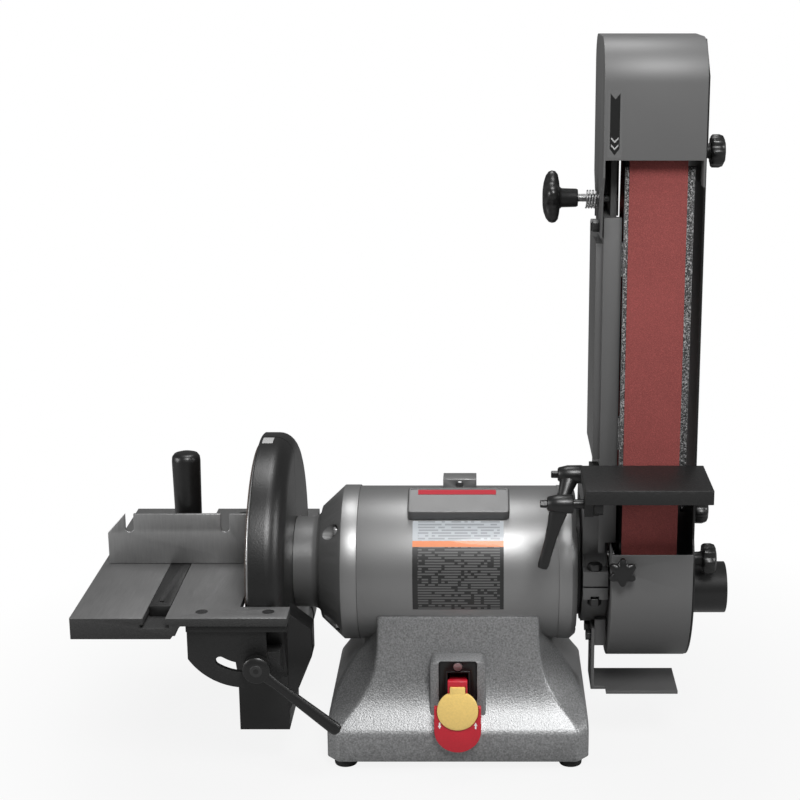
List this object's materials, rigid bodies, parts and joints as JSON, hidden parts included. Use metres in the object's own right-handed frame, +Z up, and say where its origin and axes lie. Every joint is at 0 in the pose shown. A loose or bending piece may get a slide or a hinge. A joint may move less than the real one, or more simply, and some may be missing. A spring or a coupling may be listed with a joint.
{
  "type": "belt disc sander",
  "caption": "Bench belt and disc sander with a tilting disc table, mitre gauge, swinging belt arm, belt table and paddle switch.",
  "frame": {"origin": "on the floor under the centre of the base, the middle of its bolt pattern", "axes": "+X towards the belt side, +Y to the back, +Z up"},
  "size_m": [0.591, 0.3095, 0.668],
  "materials": {
    "base_paint": "grey hammertone enamel",
    "motor_paint": "satin silver-grey enamel",
    "cover_paint": "satin grey enamel",
    "black_paint": "black textured enamel",
    "table_iron": "ground top, black rough edges",
    "black_plastic": "moulded",
    "steel": "machined",
    "dark_steel": "blackened",
    "aluminium": "turned",
    "rubber": "matt",
    "wheel_rubber": "crowned rubber",
    "disc_abrasive": "coarse grit",
    "belt_abrasive": "dark red grit on cloth",
    "platen_iron": "rough",
    "label": "printed film, no text",
    "red_plastic": "moulded",
    "yellow_plastic": "moulded",
    "stator_iron": "laminated core with winding"
  },
  "bodies": {
    "stand": {"base_casting": "base_paint", "rubber_feet": "rubber", "bottom_plate": "dark_steel", "motor_shell": "motor_paint", "left_end_bell": "motor_paint", "right_end_bell": "motor_paint", "tie_bolts": "steel", "stator": "stator_iron", "motor_bearings": "steel", "name_plate": "steel", "rating_label": "label", "cable_bracket": "motor_paint", "inlet_gland": "black_plastic", "switch_plate": "black_plastic", "switch_box": "black_plastic", "switch_screws": "steel", "guard_front": "black_paint", "guard_rear": "black_paint", "dust_chute": "black_plastic", "trunnion_bracket": "black_paint", "lock_bolt": "dark_steel", "mount_hub": "black_paint"},
    "spindle": {"rotor": "stator_iron", "motor_shaft": "steel", "disc_plate": "aluminium", "abrasive_disc": "disc_abrasive", "disc_bolt": "steel", "drive_wheel": "wheel_rubber"},
    "switch_paddle": {"switch_paddle": "red_plastic"},
    "safety_key": {"safety_key": "yellow_plastic"},
    "disc_table": {"disc_table": "table_iron", "table_trunnion": "black_paint", "table_screws": "dark_steel"},
    "lock_lever": {"lock_lever": "black_plastic"},
    "mitre_bar": {"mitre_bar": "dark_steel"},
    "mitre_head": {"mitre_fence": "steel"},
    "mitre_handle": {"mitre_handle": "black_plastic"},
    "belt_arm": {"arm_casting": "cover_paint", "arm_bolts": "dark_steel", "tension_spring": "steel", "sanding_belt": "belt_abrasive", "platen": "platen_iron", "top_cover": "cover_paint", "lower_cover": "cover_paint", "side_door": "black_paint", "belt_dust_port": "black_plastic", "spark_shelf": "cover_paint"},
    "cover_knob": {"cover_knob": "black_plastic"},
    "top_door_knob": {"top_door_knob": "black_plastic"},
    "middle_door_knob": {"middle_door_knob": "black_plastic"},
    "lower_door_knob": {"lower_door_knob": "black_plastic"},
    "idler_carriage": {"idler_bracket": "cover_paint", "idler_axle": "steel", "tracking_spring": "steel"},
    "idler_wheel": {"idler_wheel": "wheel_rubber"},
    "tracking_knob": {"tracking_knob": "black_plastic"},
    "table_carriage": {"table_bracket": "black_paint"},
    "belt_table": {"belt_table": "black_paint"},
    "tilt_lever": {"tilt_lever": "black_plastic"},
    "slide_lever": {"slide_lever": "black_plastic"}
  },
  "joints": [
    {"name": "motor_spin", "type": "hinge", "parent": "stand", "child": "spindle", "pos_m": [0, 0, 0.17], "axis": [1, 0, 0], "continuous": true},
    {"name": "paddle_travel", "type": "slide", "parent": "stand", "child": "switch_paddle", "axis": [0, 0, 1], "range_m": [0, 0.006]},
    {"name": "key_pull", "type": "slide", "parent": "switch_paddle", "child": "safety_key", "axis": [0, -1, 0], "range_m": [0, 0.03]},
    {"name": "disc_table_tilt", "type": "hinge", "parent": "stand", "child": "disc_table", "pos_m": [-0.188, 0, 0.164], "axis": [0, -1, 0], "range_deg": [0, 45]},
    {"name": "lock_lever_turn", "type": "hinge", "parent": "stand", "child": "lock_lever", "pos_m": [-0.17713, -0.15, 0.12343], "axis": [0, 1, 0], "range_deg": [-30, 45]},
    {"name": "mitre_slide", "type": "slide", "parent": "disc_table", "child": "mitre_bar", "axis": [0, 1, 0], "range_m": [-0.06, 0.05]},
    {"name": "mitre_swivel", "type": "hinge", "parent": "mitre_bar", "child": "mitre_head", "pos_m": [-0.2608, 0.01, 0.176], "axis": [0, 0, 1], "range_deg": [-45, 45]},
    {"name": "mitre_handle_turn", "type": "hinge", "parent": "mitre_head", "child": "mitre_handle", "pos_m": [-0.2608, 0.01, 0.2], "axis": [0, 0, 1], "range_deg": [-90, 90]},
    {"name": "belt_arm_tilt", "type": "hinge", "parent": "stand", "child": "belt_arm", "pos_m": [0.127, 0, 0.17], "axis": [-1, 0, 0], "range_deg": [0, 90]},
    {"name": "idler_tension", "type": "slide", "parent": "belt_arm", "child": "idler_carriage", "axis": [0, 0, 1], "range_m": [-0.006, 0], "stiffness_N_per_m": 6000, "springref_m": 0.012, "deforming": ["tension_spring"]},
    {"name": "idler_spin", "type": "hinge", "parent": "idler_carriage", "child": "idler_wheel", "pos_m": [0.176, -0.026, 0.5966], "axis": [1, 0, 0], "continuous": true},
    {"name": "tracking_turn", "type": "hinge", "parent": "idler_carriage", "child": "tracking_knob", "pos_m": [0.1, -0.026, 0.524], "axis": [1, 0, 0], "range_deg": [-180, 180]},
    {"name": "cover_knob_turn", "type": "hinge", "parent": "belt_arm", "child": "cover_knob", "pos_m": [0.15, -0.095, 0.194], "axis": [0, 1, 0], "range_deg": [-180, 180]},
    {"name": "top_door_knob_turn", "type": "hinge", "parent": "belt_arm", "child": "top_door_knob", "pos_m": [0.22, -0.026, 0.567], "axis": [1, 0, 0], "range_deg": [-180, 180]},
    {"name": "middle_door_knob_turn", "type": "hinge", "parent": "belt_arm", "child": "middle_door_knob", "pos_m": [0.22, 0.004, 0.222], "axis": [1, 0, 0], "range_deg": [-180, 180]},
    {"name": "lower_door_knob_turn", "type": "hinge", "parent": "belt_arm", "child": "lower_door_knob", "pos_m": [0.22, -0.0615, 0.195], "axis": [1, 0, 0], "range_deg": [-180, 180]},
    {"name": "belt_table_slide", "type": "slide", "parent": "belt_arm", "child": "table_carriage", "axis": [0, -1, 0], "range_m": [0, 0.008]},
    {"name": "belt_table_tilt", "type": "hinge", "parent": "table_carriage", "child": "belt_table", "pos_m": [0.117, -0.113, 0.265], "axis": [1, 0, 0], "range_deg": [0, 45]},
    {"name": "tilt_lever_turn", "type": "hinge", "parent": "table_carriage", "child": "tilt_lever", "pos_m": [0.09, -0.113, 0.265], "axis": [1, 0, 0], "range_deg": [-60, 20]},
    {"name": "slide_lever_turn", "type": "hinge", "parent": "belt_arm", "child": "slide_lever", "pos_m": [0.1, -0.05, 0.273], "axis": [1, 0, 0], "range_deg": [-25, 5]}
  ],
  "couplings": [
    {"joint": "idler_spin", "follows": "motor_spin", "ratio": 1.5909}
  ]
}
